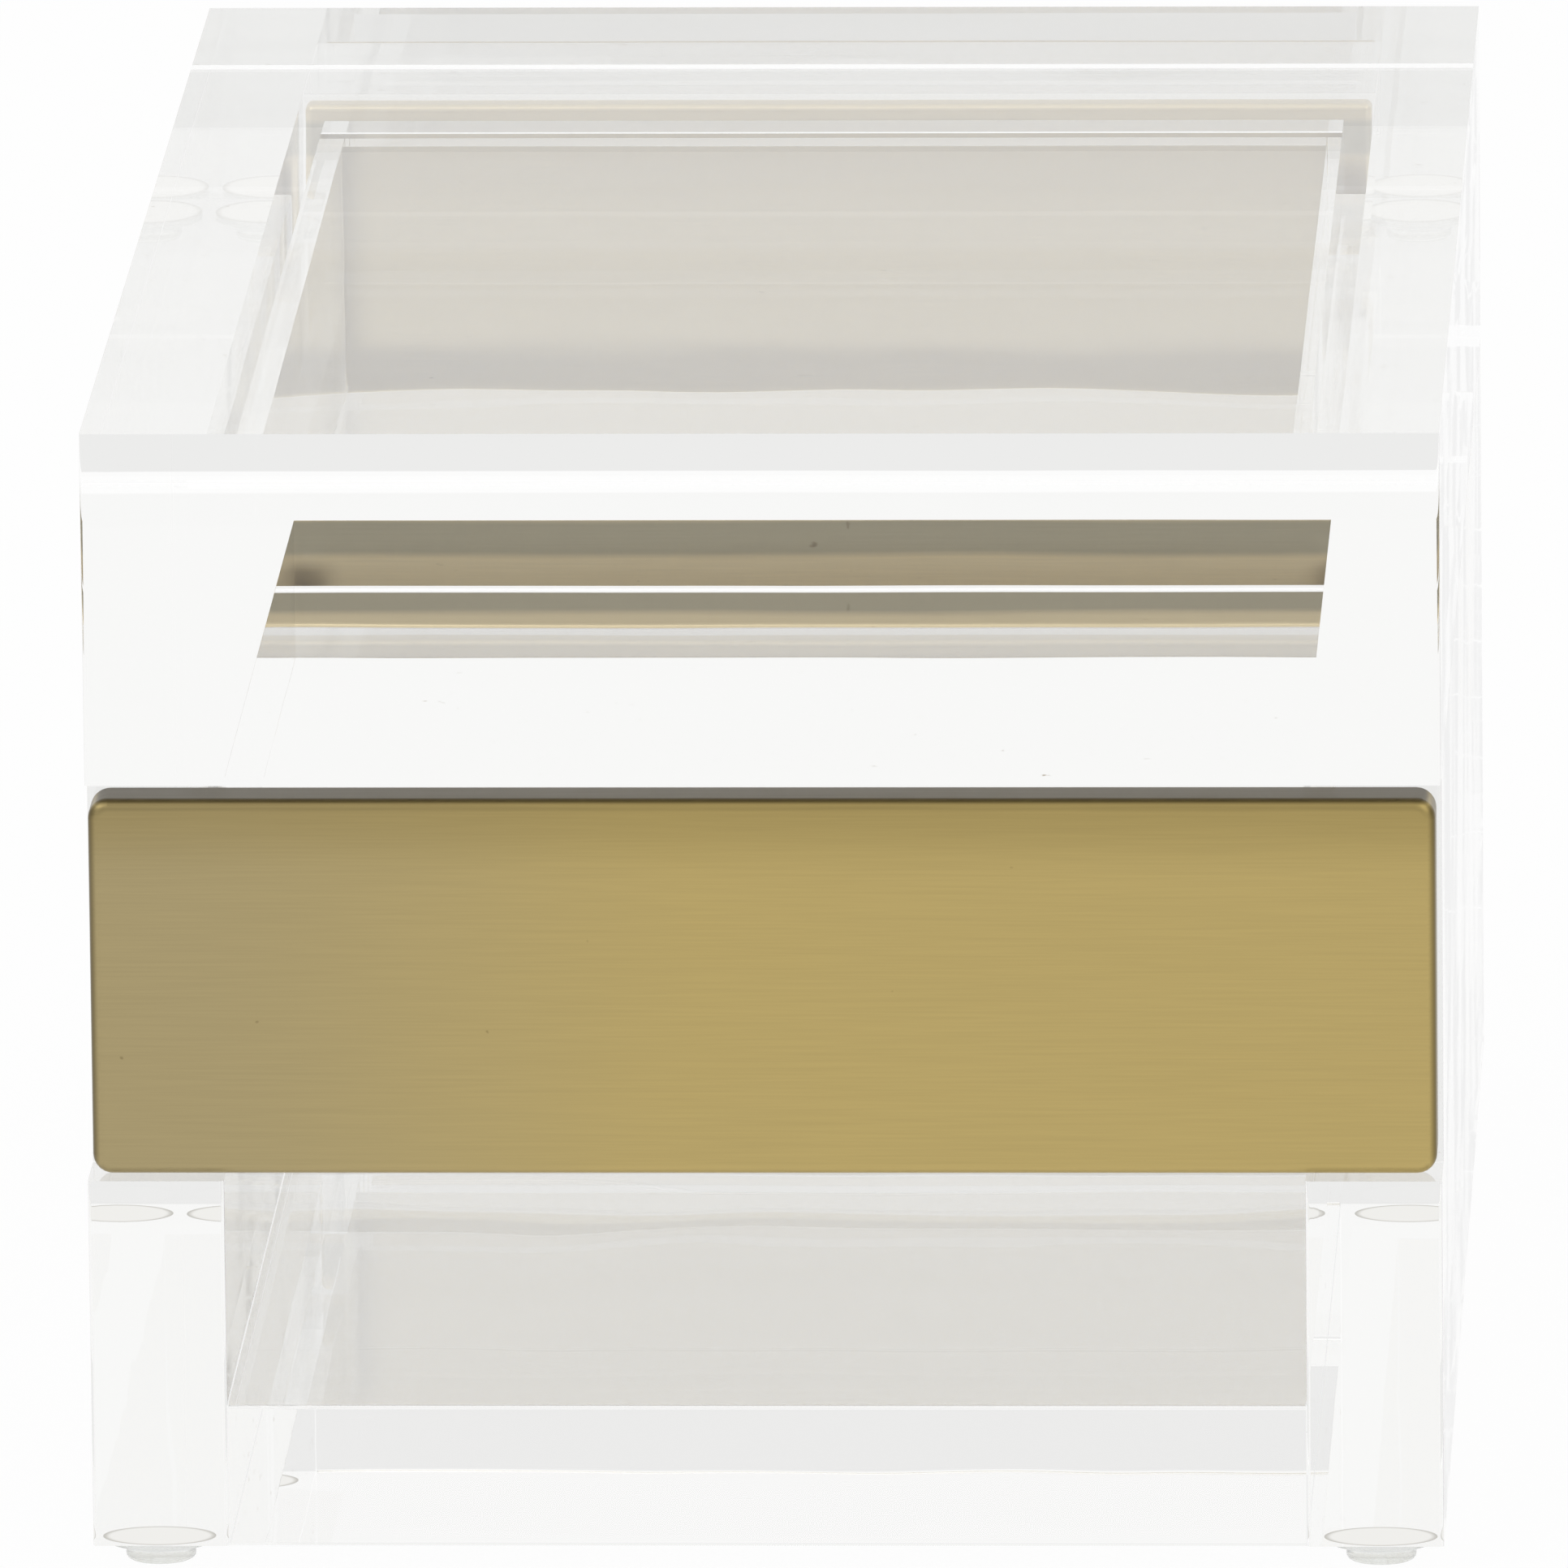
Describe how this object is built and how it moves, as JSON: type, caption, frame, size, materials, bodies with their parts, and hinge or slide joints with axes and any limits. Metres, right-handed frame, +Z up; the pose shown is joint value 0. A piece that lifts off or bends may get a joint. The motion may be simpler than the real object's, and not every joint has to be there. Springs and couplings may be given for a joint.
{
  "type": "drawer organizer box",
  "caption": "Clear acrylic organizer box with a brass-fronted sliding drawer, an open shelf below it and a solid lift-off lid, for rolls of decorative tape and small craft parts.",
  "frame": {"origin": "centre of the bounding box's bottom face, on the surface that the bumpers stand on", "axes": "+Z up; the drawer opens towards -Y, the front; +X is to the right of someone who faces the front"},
  "size_m": [0.0952, 0.1524, 0.0816],
  "materials": {
    "acrylic": "clear, polished edges",
    "brass": "satin, fine horizontal brushing",
    "bumper": "clear soft bumper"
  },
  "bodies": {
    "housing": {"base_plate": "acrylic", "lower_wall_left": "acrylic", "lower_wall_right": "acrylic", "lower_back_wall": "acrylic", "upper_wall_left": "acrylic", "upper_wall_right": "acrylic", "upper_back_wall": "acrylic", "rear_brass_panel": "brass", "foot_front_left": "bumper", "foot_front_right": "bumper", "foot_rear_left": "bumper", "foot_rear_right": "bumper"},
    "drawer": {"drawer_front": "brass", "tray_front_panel": "acrylic", "tray_back_panel": "acrylic", "tray_floor": "acrylic", "tray_side_left": "acrylic", "tray_side_right": "acrylic"},
    "lid": {"lid_slab": "acrylic", "lid_locating_block": "acrylic"}
  },
  "joints": [
    {"name": "drawer_slide", "type": "slide", "parent": "housing", "child": "drawer", "axis": [0, -1, 0], "range_m": [0, 0.1]},
    {"name": "lid_lift", "type": "slide", "parent": "housing", "child": "lid", "axis": [0, 0, 1], "range_m": [0, 0.06]}
  ]
}
